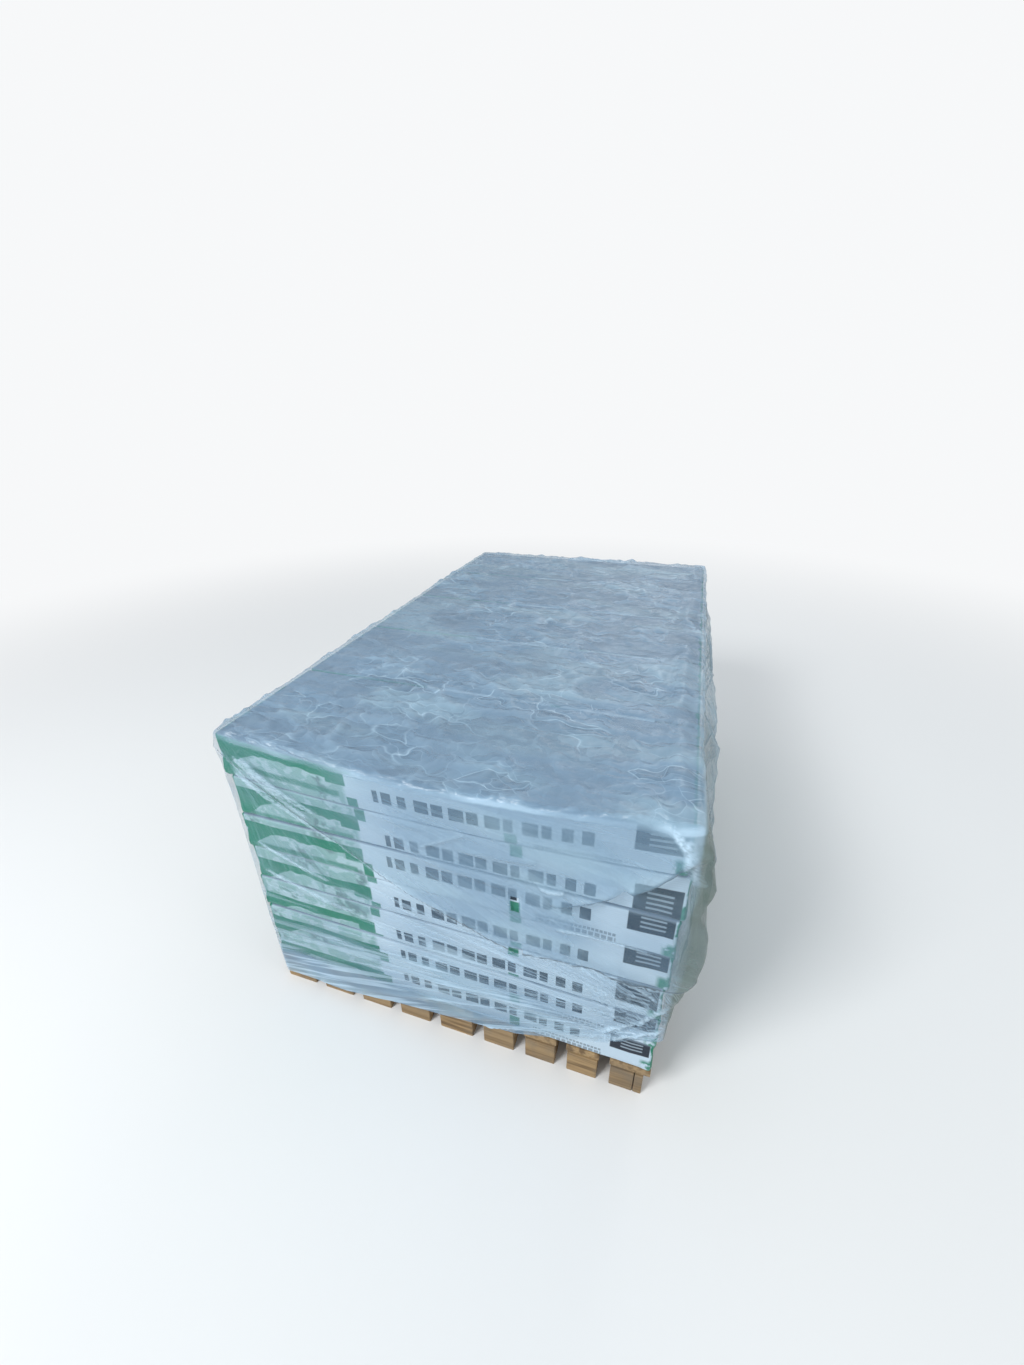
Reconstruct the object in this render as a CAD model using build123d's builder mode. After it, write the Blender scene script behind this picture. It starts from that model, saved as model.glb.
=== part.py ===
import os

from build123d import *

# A pallet load of asphalt shingle bundles under a loose film cover. Millimetres, +Z up.
# The long side of every bundle runs along X, the front of the load faces -Y, and the
# origin is on the ground under the middle of the load.

# Shingle bundles
bundle_length = 1016.0
bundle_width = 335.0
bundle_thickness = 104.1
bundle_edge_slope = 8.0
bundle_end_slope = 10.0
tuck_reach = 46.0
tuck_depth = 2.5
tuck_margin = 9.0
bundle_spacing = 2.0
bundle_rows = 5
bundle_layers = 7
layer_seat = 0.3
# How far each layer was set down off the line of the pallet, in X and in Y.
layer_nudges = ((0.0, 0.0), (1.6, -1.2), (-1.8, 0.8), (0.9, 1.5), (-1.2, -1.6), (1.7, 0.6), (-0.6, -0.8))

# Pallet
deck_board_widths = (98.0, 96.0, 94.0, 92.0, 97.0, 86.0, 81.0, 79.0, 93.0)
deck_board_thickness = 18.0
cross_board_width = 64.0
cross_board_thickness = 8.0
cross_board_setback = 25.0
cross_board_end_setback = 15.0
block_height = 72.0
block_depth = 89.0
block_inset = 3.0
block_rows = 4
end_cleat_thickness = 19.0
end_cleat_overhang = 14.0
end_cleat_gap = 2.0
board_edge_chamfer = 1.5

# Film cover
film_thickness = 1.2
film_side_clearance = 4.0
film_seat = 0.3
film_corner_radius = 10.0
film_top_radius = 12.0
film_hem_below_deck = 10.0
film_hem_front_low = 16.0
film_hem_front_rise_start = -240.0
film_hem_front_knee = 184.0
film_hem_front_knee_height = 84.0
film_hem_front_raised = 240.0
film_hem_front_raised_inset = 40.0
film_puff_upper = 62.0
film_puff_waist = 36.0
film_puff_lower = 44.0
film_puff_hem = 16.0
film_slack_root = 50.0

# Sizes that follow from the ones above
pallet_length = bundle_rows * bundle_width + (bundle_rows - 1) * bundle_spacing
pallet_width = bundle_length
deck_board_gap = (pallet_width - sum(deck_board_widths)) / (len(deck_board_widths) - 1)
cross_board_base = block_height
deck_base = cross_board_base + cross_board_thickness
deck_top = deck_base + deck_board_thickness
layer_pitch = bundle_thickness + layer_seat
load_top = deck_top + bundle_layers * layer_pitch
load_length = pallet_length
# The film is made down to here, and then cut off along its hem.
film_foot = film_hem_front_low / 2

board_edges = [0.0]
for width in deck_board_widths:
    board_edges.append(board_edges[-1] + width + deck_board_gap)
board_centres = [
    start + width / 2 - pallet_width / 2 for start, width in zip(board_edges, deck_board_widths)
]

block_row_pitch = (pallet_length - block_depth) / (block_rows - 1)
block_row_centres = [row * block_row_pitch - (pallet_length - block_depth) / 2 for row in range(block_rows)]


def make_block_row(centre_y):
    """One row of short blocks, one under each deck board, with a cleat at the right-hand end."""
    with BuildPart() as block_row:
        for centre_x, width in zip(board_centres[:-1], deck_board_widths[:-1]):
            with BuildSketch():
                with Locations((centre_x, centre_y)):
                    Rectangle(width - 2 * block_inset, block_depth)
        cleat_outer = pallet_width / 2 - end_cleat_overhang
        cleat_inner = cleat_outer - end_cleat_thickness
        last_start = board_centres[-1] - deck_board_widths[-1] / 2 + block_inset
        last_end = cleat_inner - end_cleat_gap
        with BuildSketch():
            with Locations(((last_start + last_end) / 2, centre_y)):
                Rectangle(last_end - last_start, block_depth)
        with BuildSketch():
            with Locations(((cleat_inner + cleat_outer) / 2, centre_y)):
                Rectangle(end_cleat_thickness, block_depth)
        extrude(amount=block_height)
        chamfer(block_row.edges().filter_by(Axis.Z), board_edge_chamfer)
    return block_row.part


def make_cross_boards():
    """Thin boards, one along the inner part of each row of blocks, that tie the row together."""
    length = pallet_width - 2 * cross_board_end_setback
    setback = cross_board_setback + cross_board_width / 2 - block_depth / 2
    with BuildPart() as cross_boards:
        for centre_y in block_row_centres:
            inward = setback if centre_y < 0 else -setback
            with BuildSketch(Plane.XY.offset(cross_board_base)):
                with Locations((0, centre_y + inward)):
                    Rectangle(length, cross_board_width)
        extrude(amount=cross_board_thickness)
    return cross_boards.part


def make_deck_boards():
    """The top boards of the pallet, running from the front to the back, with gaps between them."""
    with BuildPart() as deck_boards:
        for centre_x, width in zip(board_centres, deck_board_widths):
            with BuildSketch(Plane.XY.offset(deck_base)):
                with Locations((centre_x, 0)):
                    Rectangle(width, pallet_length)
        extrude(amount=deck_board_thickness)
        chamfer(deck_boards.faces().group_by(Axis.Z)[-1].edges(), board_edge_chamfer)
    return deck_boards.part


def make_bundle():
    """One wrapped bundle on its own centre: sloped edges and ends, and tucked folds."""
    with BuildPart() as bundle:
        with BuildSketch(Plane.YZ):
            Rectangle(bundle_width, bundle_thickness)
            chamfer(vertices(), bundle_edge_slope)
        extrude(amount=bundle_length / 2, both=True)
        end_faces = bundle.faces().filter_by(Axis.X)
        chamfer(end_faces.edges(), bundle_end_slope)
        # Where the wrapper is folded in at each side of an end, a shallow triangle is left.
        half_width = bundle_width / 2 - bundle_end_slope - tuck_margin
        half_height = bundle_thickness / 2 - bundle_end_slope - tuck_margin
        for end_plane in (Plane.YZ.offset(bundle_length / 2), Plane.YZ.offset(-bundle_length / 2)):
            inward = -tuck_depth if end_plane.origin.X > 0 else tuck_depth
            with BuildSketch(end_plane):
                for side in (-1, 1):
                    with BuildLine():
                        Polyline(
                            (side * half_width, half_height),
                            (side * half_width, -half_height),
                            (side * (half_width - tuck_reach), 0),
                            close=True,
                        )
                    make_face()
            extrude(amount=inward, mode=Mode.SUBTRACT)
    return bundle.part


def make_bundle_layer(layer, bundle):
    """One layer of the load: the bundles side by side from the front to the back."""
    nudge_x, nudge_y = layer_nudges[layer % len(layer_nudges)]
    centre_z = deck_top + layer_seat + layer * layer_pitch + bundle_thickness / 2
    pitch = bundle_width + bundle_spacing
    with BuildPart() as bundle_layer:
        for row in range(bundle_rows):
            centre_y = (row - (bundle_rows - 1) / 2) * pitch
            with Locations((nudge_x, centre_y + nudge_y, centre_z)):
                add(bundle)
    return bundle_layer.part


def slack_outline(side, flat_x, share):
    """Points down one slack side of the film: joins and crests of its two puffs, then its foot."""
    height = load_top - deck_top
    # Height above the deck as a share of the load's height, and how far the film stands off there.
    stand_offs = (
        (0.97, 0.0),
        (0.72, film_puff_upper),
        (0.48, film_puff_waist),
        (0.30, film_puff_lower),
        (0.10, film_puff_hem),
    )
    outline = [(side * (flat_x + share * off), deck_top + level * height) for level, off in stand_offs]
    return outline + [(side * (flat_x + share * film_puff_hem / 2), film_foot)]


def make_slack_side(side, flat_x, half_y):
    """One slack side of the film as a solid: two puffs with a crease between, flatter at the ends."""
    inner_x = side * (flat_x - film_slack_root)
    # Place along the load as a share of its half length, and the share of the slack there.
    stations = ((-0.985, 0.72), (-0.7, 1.0), (0.7, 1.0), (0.985, 0.6))
    with BuildPart() as slack_side:
        for start, end in zip(stations[:-1], stations[1:]):
            straight = start[1] == end[1]
            for station, share in (start,) if straight else (start, end):
                top_join, upper, waist, lower, hem_join, foot = slack_outline(side, flat_x, share)
                with BuildSketch(Plane.XZ.offset(-station * half_y)):
                    with BuildLine():
                        ThreePointArc(top_join, upper, waist)
                        ThreePointArc(waist, lower, hem_join)
                        Polyline(hem_join, foot, (inner_x, foot[1]), (inner_x, top_join[1]), top_join)
                    make_face()
            if straight:
                extrude(amount=(start[0] - end[0]) * half_y)
            else:
                loft(ruled=True)
    return slack_side.part


def make_film_envelope(growth):
    """The space inside the film, grown by a skin thickness: a rounded box with slack sides."""
    half_x = bundle_length / 2 + film_side_clearance + growth
    half_y = load_length / 2 + film_side_clearance + growth
    top = load_top + film_seat + growth
    with BuildPart() as envelope:
        with BuildSketch(Plane.XY.offset(film_foot)):
            RectangleRounded(2 * half_x, 2 * half_y, film_corner_radius + growth)
        extrude(amount=top - film_foot)
        fillet(envelope.faces().sort_by(Axis.Z)[-1].edges(), film_top_radius + growth)
        for side in (-1, 1):
            add(make_slack_side(side, half_x, half_y))
    return envelope.part


def make_film_cover():
    """A loose film bag open at the bottom. Its hem hangs over the deck, low at one front corner and
    raised at the other."""
    hem = deck_top - film_hem_below_deck
    reach_x = bundle_length / 2 + 2 * film_puff_upper
    reach_y = load_length / 2 + 2 * film_puff_upper
    raised_x = bundle_length / 2 - film_hem_front_raised_inset
    band = load_length / 2 - film_top_radius
    # Behind the front, the hem reaches the height of the deck at these places along the two sides.
    low_side_end = -load_length / 2 + block_depth
    raised_side_end = -load_length / 6
    with BuildPart() as film_cover:
        add(make_film_envelope(film_thickness))
        add(make_film_envelope(0.0), mode=Mode.SUBTRACT)
        # The hem across the front.
        with BuildSketch(Plane.XZ.offset(band)):
            with BuildLine():
                rising = Spline(
                    (film_hem_front_rise_start, film_hem_front_low),
                    (film_hem_front_knee, film_hem_front_knee_height),
                    (raised_x, film_hem_front_raised),
                    tangents=((1, 0), (1, 0)),
                )
                Polyline(
                    rising @ 1,
                    (reach_x, film_hem_front_raised),
                    (reach_x, 0),
                    (-reach_x, 0),
                    (-reach_x, film_hem_front_low),
                    rising @ 0,
                )
            make_face()
        extrude(amount=reach_y - band, mode=Mode.SUBTRACT)
        # The hem along each side, from its height at the front corner to its height behind.
        sides = ((-1, film_hem_front_low, low_side_end), (1, film_hem_front_raised, raised_side_end))
        for side, corner_height, level_y in sides:
            with BuildSketch(Plane.YZ):
                with BuildLine():
                    falling = Spline((-band, corner_height), (level_y, hem), tangents=((1, 0), (1, 0)))
                    Polyline(falling @ 1, (reach_y, hem), (reach_y, 0), (-band, 0), falling @ 0)
                make_face()
            extrude(amount=side * reach_x, mode=Mode.SUBTRACT)
    return film_cover.part


os.makedirs("parts", exist_ok=True)


def keep(solid, name):
    """Give a finished piece its name and write it out."""
    solid.label = name
    export_step(solid, f"parts/{name}.step")


for number, row_y in enumerate(block_row_centres, start=1):
    keep(make_block_row(row_y), f"block_row_{number}")
keep(make_cross_boards(), "cross_boards")
keep(make_deck_boards(), "deck_boards")

wrapped_bundle = make_bundle()
for layer_index in range(bundle_layers):
    keep(make_bundle_layer(layer_index, wrapped_bundle), f"bundle_layer_{layer_index + 1}")

keep(make_film_cover(), "film_cover")
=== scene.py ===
# %% [markdown]
# # A pallet load of shingle bundles under a loose film
#
# Thirty-five wrapped bundles stand on a wooden pallet, in seven layers of five. A thin milky film is
# pulled over them, creased where it is tight and baggy where it is slack. This lesson dresses the load
# one finish at a time. The solids of the pallet and the bundles are loaded first, as a fixed frame,
# and every new surface is worked out from their places, so nothing has to be fitted afterwards.

import math

import bpy
import numpy as np
from mathutils import Matrix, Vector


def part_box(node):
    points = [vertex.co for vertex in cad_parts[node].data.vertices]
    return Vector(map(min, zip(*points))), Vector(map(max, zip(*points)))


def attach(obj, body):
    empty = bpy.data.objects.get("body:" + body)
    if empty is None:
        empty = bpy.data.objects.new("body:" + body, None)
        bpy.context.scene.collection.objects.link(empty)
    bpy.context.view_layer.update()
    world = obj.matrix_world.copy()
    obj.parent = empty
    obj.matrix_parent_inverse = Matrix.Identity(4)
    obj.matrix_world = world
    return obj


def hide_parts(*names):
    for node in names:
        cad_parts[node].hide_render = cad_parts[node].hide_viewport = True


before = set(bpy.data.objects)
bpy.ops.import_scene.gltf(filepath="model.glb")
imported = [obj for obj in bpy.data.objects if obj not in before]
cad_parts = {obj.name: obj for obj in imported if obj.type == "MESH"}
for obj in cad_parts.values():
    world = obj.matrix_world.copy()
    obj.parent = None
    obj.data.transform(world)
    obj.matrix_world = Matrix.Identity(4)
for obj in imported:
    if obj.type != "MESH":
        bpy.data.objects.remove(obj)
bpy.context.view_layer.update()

# %% [markdown]
# ## The camera
#
# The load was seen from above its right-hand front corner, through a very wide lens. The place and the
# three angles below came from lining up the load's own edges. A camera in Blender looks down its own
# -Z axis, so it is first tipped up to look at the horizon, and then dipped, turned and rolled.

# %% Camera
IMAGE_SIZE = (1024, 1365)
FOCAL_PIXELS = 531.9
SENSOR_MM = 36.0
CAMERA_PLACE = (0.4281, -1.5737, 1.4543)
CAMERA_HEADING = math.radians(18.388)
CAMERA_DIP = math.radians(27.317)
CAMERA_ROLL = math.radians(-0.674)


def new_object(name, data):
    """An object that holds the data, linked into the scene."""
    made = bpy.data.objects.new(name, data)
    bpy.context.scene.collection.objects.link(made)
    return made


lens = bpy.data.cameras.new("camera")
lens.sensor_width = SENSOR_MM
lens.lens = FOCAL_PIXELS * SENSOR_MM / max(IMAGE_SIZE)
camera = new_object("camera", lens)
turned = Matrix.Rotation(CAMERA_HEADING, 4, "Z")
dipped = Matrix.Rotation(math.pi / 2 - CAMERA_DIP, 4, "X")
rolled = Matrix.Rotation(CAMERA_ROLL, 4, "Z")
camera.matrix_world = Matrix.Translation(CAMERA_PLACE) @ turned @ dipped @ rolled
bpy.context.scene.camera = camera
print("camera lens", round(lens.lens, 2), "mm")

# %% [markdown]
# ## Small helpers for shader nodes
#
# A material is a small program made of nodes. Written out in full it takes many lines, so a node's
# output is wrapped in a class that can be reckoned with: a + b adds one Math node and gives its
# output, and so do the other signs. A material then reads as formulas. Wherever a value is asked for,
# a plain number will do as well as an output.


# %% Node helpers
def set_inputs(node, inputs):
    """Set a node's inputs, named or numbered. An output is linked, and a number or colour is written."""
    for name, value in inputs.items():
        if isinstance(value, Output):
            value.tree.links.new(value.socket, node.inputs[name])
        else:
            node.inputs[name].default_value = value


class Node:
    """A node that is added to a tree, with its settings and inputs. node[name] is one of its outputs."""

    def __init__(self, tree, kind, inputs=None, **settings):
        self.tree = tree
        self.node = tree.nodes.new("ShaderNode" + kind)
        for name, value in settings.items():
            setattr(self.node, name, value)
        set_inputs(self.node, inputs or {})

    def __getitem__(self, name):
        return Output(self.tree, self.node.outputs[name])


class Output:
    """One output of a node. Each sum with it adds a Math node to its tree."""

    def __init__(self, tree, socket):
        self.tree = tree
        self.socket = socket

    def math(self, operation, *others, before=(), clamp=False):
        """One step of arithmetic on this output and the others."""
        values = dict(enumerate((*before, self, *others)))
        return Node(self.tree, "Math", values, operation=operation, use_clamp=clamp)[0]

    def __add__(self, other):
        return self.math("ADD", other)

    def __sub__(self, other):
        return self.math("SUBTRACT", other)

    def __rsub__(self, other):
        return self.math("SUBTRACT", before=(other,))

    def __mul__(self, other):
        return self.math("MULTIPLY", other)

    def __truediv__(self, other):
        return self.math("DIVIDE", other)

    def __rtruediv__(self, other):
        return self.math("DIVIDE", before=(other,))

    def __abs__(self):
        return self.math("ABSOLUTE")

    def most(self, *others):
        """The greatest of this and the others."""
        greatest = self
        for other in others:
            greatest = greatest.math("MAXIMUM", other)
        return greatest

    def step(self, low, high, to_low=0.0, to_high=1.0):
        """A soft step: this runs from low to high, and the result smoothly between the other two."""
        inputs = {"Value": self, "From Min": low, "From Max": high, "To Min": to_low, "To Max": to_high}
        return Node(self.tree, "MapRange", inputs, interpolation_type="SMOOTHSTEP")["Result"]

    def mix(self, first, second):
        """Two colours mixed, with this as the share of the second."""
        return Node(self.tree, "Mix", {0: self, 6: first, 7: second}, data_type="RGBA")[2]

    def vector(self, operation, other=None, output="Vector"):
        """One step of arithmetic on this vector and another, or the number that scales it."""
        inputs = {0: self}
        if other is not None:
            inputs["Scale" if operation == "SCALE" else 1] = other
        return Node(self.tree, "VectorMath", inputs, operation=operation)[output]

    def parts(self):
        """The three parts of this vector."""
        node = Node(self.tree, "SeparateXYZ", {0: self})
        return [node[axis] for axis in "XYZ"]

    def noise(self, scale, detail, **settings):
        """Noise at this place: output 0 is a number, and Color three of them."""
        return Node(self.tree, "TexNoise", {"Vector": self, "Scale": scale, "Detail": detail}, **settings)

    def bump(self, strength, distance):
        """A normal that leans as if this were a height."""
        return Node(self.tree, "Bump", {"Strength": strength, "Distance": distance, "Height": self})[0]


def new_group(name, inputs, build):
    """A node group. inputs gives each input's starting number, or None for a vector. build gets the
    tree and the inputs, and returns the outputs by name."""
    group = bpy.data.node_groups.new(name, "ShaderNodeTree")
    for key, number in inputs.items():
        kind = "NodeSocketVector" if number is None else "NodeSocketFloat"
        socket = group.interface.new_socket(key, in_out="INPUT", socket_type=kind)
        if number is not None:
            socket.default_value = number
    start = group.nodes.new("NodeGroupInput")
    results = build(group, *[Output(group, start.outputs[key]) for key in inputs])
    for key in results:
        group.interface.new_socket(key, in_out="OUTPUT", socket_type="NodeSocketFloat")
    set_inputs(group.nodes.new("NodeGroupOutput"), results)
    return group


def new_material(name):
    """A material with a Principled BSDF: the material, its tree and the shader."""
    material = bpy.data.materials.new(name)
    material.use_nodes = True
    tree = material.node_tree
    return material, tree, tree.nodes["Principled BSDF"]


def hue(red, green, blue):
    """An opaque colour as the four numbers that a socket takes."""
    return (red, green, blue, 1.0)


# %% [markdown]
# ## Floor, sky and lamps
#
# A pale floor and an even sky keep the eye on the load. The sky is written twice: rays that go to the
# camera, or that are mirrored or pass through something, see it nearly white, and all other rays see a
# dimmer, slightly blue one, which is what lights the load. Two large soft lamps give the film's creases
# their bright and dark sides.

# %% Floor
FLOOR_REACH = 30.0
FLOOR_COLOUR = hue(0.80, 0.80, 0.79)
FLOOR_FADE = (1.8, 5.5)
SKY_SEEN = hue(0.93, 0.94, 0.95)
FLOOR_ROUGHNESS = 0.9


def seen_rays(tree):
    """1 for rays that go to the camera, or that are mirrored or pass through something, else 0."""
    path = Node(tree, "LightPath")
    seen = path["Is Camera Ray"].math("ADD", path["Is Glossy Ray"], clamp=True)
    return seen.math("ADD", path["Is Transmission Ray"], clamp=True)


corners = FLOOR_REACH * np.array([(-1, -1, 0), (1, -1, 0), (1, 1, 0), (-1, 1, 0)], float)
floor_mesh = bpy.data.meshes.new("floor")
floor_mesh.from_pydata(corners.tolist(), [], [(0, 1, 2, 3)])
floor = new_object("floor", floor_mesh)
floor_material, tree, shader = new_material("floor_paper")
set_inputs(shader, {"Base Color": FLOOR_COLOUR, "Roughness": FLOOR_ROUGHNESS})
floor_mesh.materials.append(floor_material)

# Rays that are seen find the sky's own colour on the far floor, so no horizon shows.
away = Node(tree, "TexCoord")["Object"].vector("LENGTH", output="Value")
far = seen_rays(tree) * away.step(*FLOOR_FADE)
glow = Node(tree, "Emission", {"Color": SKY_SEEN, "Strength": 1.0})
faded = Node(tree, "MixShader", {0: far, 1: Output(tree, shader.outputs[0]), 2: glow[0]})
set_inputs(tree.nodes["Material Output"], {"Surface": faded[0]})

# %% Sky
SKY_LIGHT = hue(0.86, 0.93, 1.0)
SKY_LIGHT_STRENGTH = 0.56

world = bpy.data.worlds.new("sky")
bpy.context.scene.world = world
world.use_nodes = True
tree = world.node_tree
tree.nodes.clear()
lighting = Node(tree, "Background", {"Color": SKY_LIGHT, "Strength": SKY_LIGHT_STRENGTH})
showing = Node(tree, "Background", {"Color": SKY_SEEN, "Strength": 1.0})
either = Node(tree, "MixShader", {0: seen_rays(tree), 1: lighting[0], 2: showing[0]})
Node(tree, "OutputWorld", {"Surface": either[0]})


# %% Lamps
def soft_lamp(name, place, aim, size, watts, colour):
    """A square area lamp at a place, turned to face a point."""
    lamp = bpy.data.lights.new(name, "AREA")
    lamp.size = size
    lamp.energy = watts
    lamp.color = colour
    holder = new_object(name, lamp)
    back = np.array(place) - np.array(aim)
    back /= np.linalg.norm(back)
    side = np.cross((0, 0, 1), back)
    side /= np.linalg.norm(side)
    axes = np.stack([side, np.cross(back, side), back], axis=1)
    holder.matrix_world = Matrix.Translation(place) @ Matrix(axes.tolist()).to_4x4()


soft_lamp("key_lamp", (-2.2, -4.0, 4.4), (0, -0.4, 0.5), 1.8, 235.0, (0.98, 0.99, 1.0))
soft_lamp("fill_lamp", (4.2, -0.6, 3.0), (0, 0, 0.4), 3.5, 40.0, (0.93, 0.97, 1.0))
soft_lamp("back_lamp", (0.5, 4.4, 4.0), (0, 0.2, 0.6), 3.0, 60.0, (1.0, 1.0, 1.0))
bpy.context.scene.view_settings.view_transform = "Standard"
print("floor, sky and", len(bpy.data.lights), "lamps")

# %% [markdown]
# ## Random numbers that lie on a surface
#
# Film, wrapper and crumpled edges all need a smooth random height. Value noise gives one: random
# numbers stand at the crossings of a square net, and between them the height is eased from one to the
# next. It is worked out for all points of a surface at once, as whole arrays. A crease is where two
# such heights are equal, because such lines wander and never end abruptly, as real creases do.

# %% Noise on arrays
NET_SIZE = 256


def ease(t):
    """3 t^2 - 2 t^3 of t held between 0 and 1: a slope that starts and ends flat."""
    t = np.clip(t, 0.0, 1.0)
    return t * t * (3.0 - 2.0 * t)


def cloud(u, v, cell, seed):
    """Value noise from 0 to 1. The place (u, v) divided by the cell gives a square of the net, and the
    four random numbers at its corners are mixed by eased shares of the place inside the square."""
    net = np.random.default_rng(seed).random((NET_SIZE, NET_SIZE))
    a, b = np.asarray(u) / cell, np.asarray(v) / cell
    i, j = np.floor(a).astype(int), np.floor(b).astype(int)
    s, t = ease(a - i), ease(b - j)
    i0, i1, j0, j1 = i % NET_SIZE, (i + 1) % NET_SIZE, j % NET_SIZE, (j + 1) % NET_SIZE
    near = net[i0, j0] * (1 - s) + net[i1, j0] * s
    far = net[i0, j1] * (1 - s) + net[i1, j1] * s
    return near * (1 - t) + far * t


def creases(u, v, cell, width, seed):
    """Ridges from 0 to 1 along the lines where two clouds are equal: a bell of their difference."""
    return np.exp(-(((cloud(u, v, cell, seed) - cloud(u, v, cell * 1.3, seed + 1)) / width) ** 2))


def facets(u, v, cell, width, seed):
    """Straight creases between flat facets, from 0 to 1. One random point lies in each square of a net,
    and a crease is a bell of the difference between the distances to the nearest two."""
    net = np.random.default_rng(seed).random((NET_SIZE, NET_SIZE, 2))
    a, b = np.asarray(u) / cell, np.asarray(v) / cell
    i, j = np.floor(a).astype(int), np.floor(b).astype(int)
    first, second = np.full(a.shape, 9.0), np.full(a.shape, 9.0)
    for di in (-1, 0, 1):
        for dj in (-1, 0, 1):
            point = net[(i + di) % NET_SIZE, (j + dj) % NET_SIZE]
            away = np.hypot(i + di + point[..., 0] - a, j + dj + point[..., 1] - b)
            second = np.minimum(second, np.maximum(first, away))
            first = np.minimum(first, away)
    return np.exp(-(((second - first) / width) ** 2))


def through(x, places, values):
    """A smooth curve through the given values, flat at each of them: the share of the way from one
    place to the next is eased."""
    places, values = np.asarray(places, float), np.asarray(values, float)
    k = np.clip(np.searchsorted(places, x) - 1, 0, len(places) - 2)
    share = ease((x - places[k]) / (places[k + 1] - places[k]))
    return values[k] * (1 - share) + values[k + 1] * share


# %% [markdown]
# ## A box whose skin is a net
#
# Both the bundles and the film are boxes that were bent, so both start as the skin of a box with many
# grid lines. Neighbouring sides share the points on their common edge, which keeps the surface in one
# piece. Rounding pulls each point in to a smaller box and pushes it out again by one radius, so the
# edges and corners come out round without any bevel.


# %% Box skin
def grid_lines(low, high, step, radius, lean=0.0):
    """Places of the grid lines along one side: closer together near the ends, where the edges are
    rounded. lean above 0 puts more of the lines at the low end."""
    corner = radius * np.array([0.0, 0.3, 0.65])
    share = np.linspace(0, 1, max(2, round((high - low - 2 * radius) / step) + 1))
    share = share + lean * share * (share - 1)
    inner = low + radius + share * (high - low - 2 * radius)
    return np.concatenate([low + corner, inner, (high - corner)[::-1]])


def box_skin(lines, sides):
    """Points and four-sided faces of the named sides of a box, with a point at each crossing of two
    grid lines. A side is (axis, end). Each point gets one number from its three line numbers, so that
    sides that meet name the same points."""
    count = [len(line) for line in lines]
    faces = []
    for axis, end in sides:
        a, b = [n for n in range(3) if n != axis]
        p, q = np.meshgrid(np.arange(count[a] - 1), np.arange(count[b] - 1), indexing="ij")
        place = [None, None, None]
        place[axis] = np.full(p.shape, (count[axis] - 1) * end)
        ring = []
        for dp, dq in ((0, 0), (1, 0), (1, 1), (0, 1)):
            place[a], place[b] = p + dp, q + dq
            ring.append((place[0] * count[1] + place[1]) * count[2] + place[2])
        face = np.stack(ring, axis=-1).reshape(-1, 4)
        outward = (end == 1) != (axis == 1)
        faces.append(face if outward else face[:, ::-1])
    used, faces = np.unique(np.concatenate(faces), return_inverse=True)
    i, rest = np.divmod(used, count[1] * count[2])
    j, k = np.divmod(rest, count[2])
    points = np.stack([lines[0][i], lines[1][j], lines[2][k]], axis=1)
    return points, faces.reshape(-1, 4)


def rounded(points, low, high, radius):
    """Round a box skin: the nearest point of a box one radius smaller, plus one radius along the line
    to it. It returns the points and the directions in which they face."""
    core = np.clip(points, np.asarray(low) + radius, np.asarray(high) - radius)
    facing = points - core
    facing /= np.linalg.norm(facing, axis=1, keepdims=True)
    return core + radius * facing, facing


ALL_SIDES = [(axis, end) for axis in range(3) for end in (0, 1)]


def make_piece(name, points, faces, material, values=None):
    """A smooth mesh object at the origin that rides on the load. values are numbers or triples kept at
    each point, for its material to read."""
    mesh = bpy.data.meshes.new(name)
    mesh.from_pydata(points.tolist(), [], faces.tolist())
    mesh.shade_smooth()
    for value_name, value in (values or {}).items():
        kind, key = ("FLOAT_VECTOR", "vector") if value.ndim == 2 else ("FLOAT", "value")
        kept = mesh.attributes.new(value_name, kind, "POINT")
        kept.data.foreach_set(key, value.astype(np.float32).ravel())
    mesh.materials.append(material)
    piece = new_object(name, mesh)
    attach(piece, "root")
    return piece


# %% [markdown]
# ## Where the pieces are
#
# The frame gives each layer's box. The sizes of one bundle follow from it: five bundles lie side by
# side from the front to the back of a layer.

# %% Places from the frame
ROWS = 5
LAYERS = 7
ROW_GAP = 0.002

layer_boxes = [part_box(f"bundle_layer_{layer + 1}") for layer in range(LAYERS)]
bundle_length = layer_boxes[0][1].x - layer_boxes[0][0].x
bundle_height = layer_boxes[0][1].z - layer_boxes[0][0].z
layer_depth = layer_boxes[0][1].y - layer_boxes[0][0].y
bundle_width = (layer_depth - (ROWS - 1) * ROW_GAP) / ROWS
deck_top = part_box("deck_boards")[1].z
load_top = layer_boxes[-1][1].z
load_height = load_top - deck_top
half_long = layer_depth / 2
half_wide = bundle_length / 2
print("bundle", round(bundle_length, 3), round(bundle_width, 3), round(bundle_height, 4))

# %% [markdown]
# ## How the load has settled
#
# Shingles are heavy and bend a little. The front edge of the upper layers has sunk in the middle and
# leans out. One function moves points in this way, and it is used on the bundles and on the film, so
# they stay clear of each other.

# %% Settling
SETTLE_DROP = 0.018
SETTLE_RISE = 0.25
SETTLE_LEAN = 0.012
SETTLE_REACH = 0.16
SETTLE_TOP_FROM = 0.62


def settled(points):
    """Points of the load after settling: down and forward by shares that are greatest at the front edge
    and fade towards the back. The drop grows from the deck up, and in the upper layers it fades
    towards the two sides as well."""
    x, y, z = points.T
    middle = np.cos(np.clip(x / half_wide, -1, 1) * math.pi / 2) ** 0.8
    near = np.exp(-(((y + half_long) / SETTLE_REACH) ** 2))
    upper = ease((z - SETTLE_TOP_FROM) / (load_top - SETTLE_TOP_FROM))
    drop = SETTLE_DROP * near * ease((z - deck_top) / SETTLE_RISE) * (1 - upper + 1.3 * upper * middle)
    lean = SETTLE_LEAN * near * upper * middle
    return points + np.stack([0 * x, -lean, -drop], axis=1)


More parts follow.
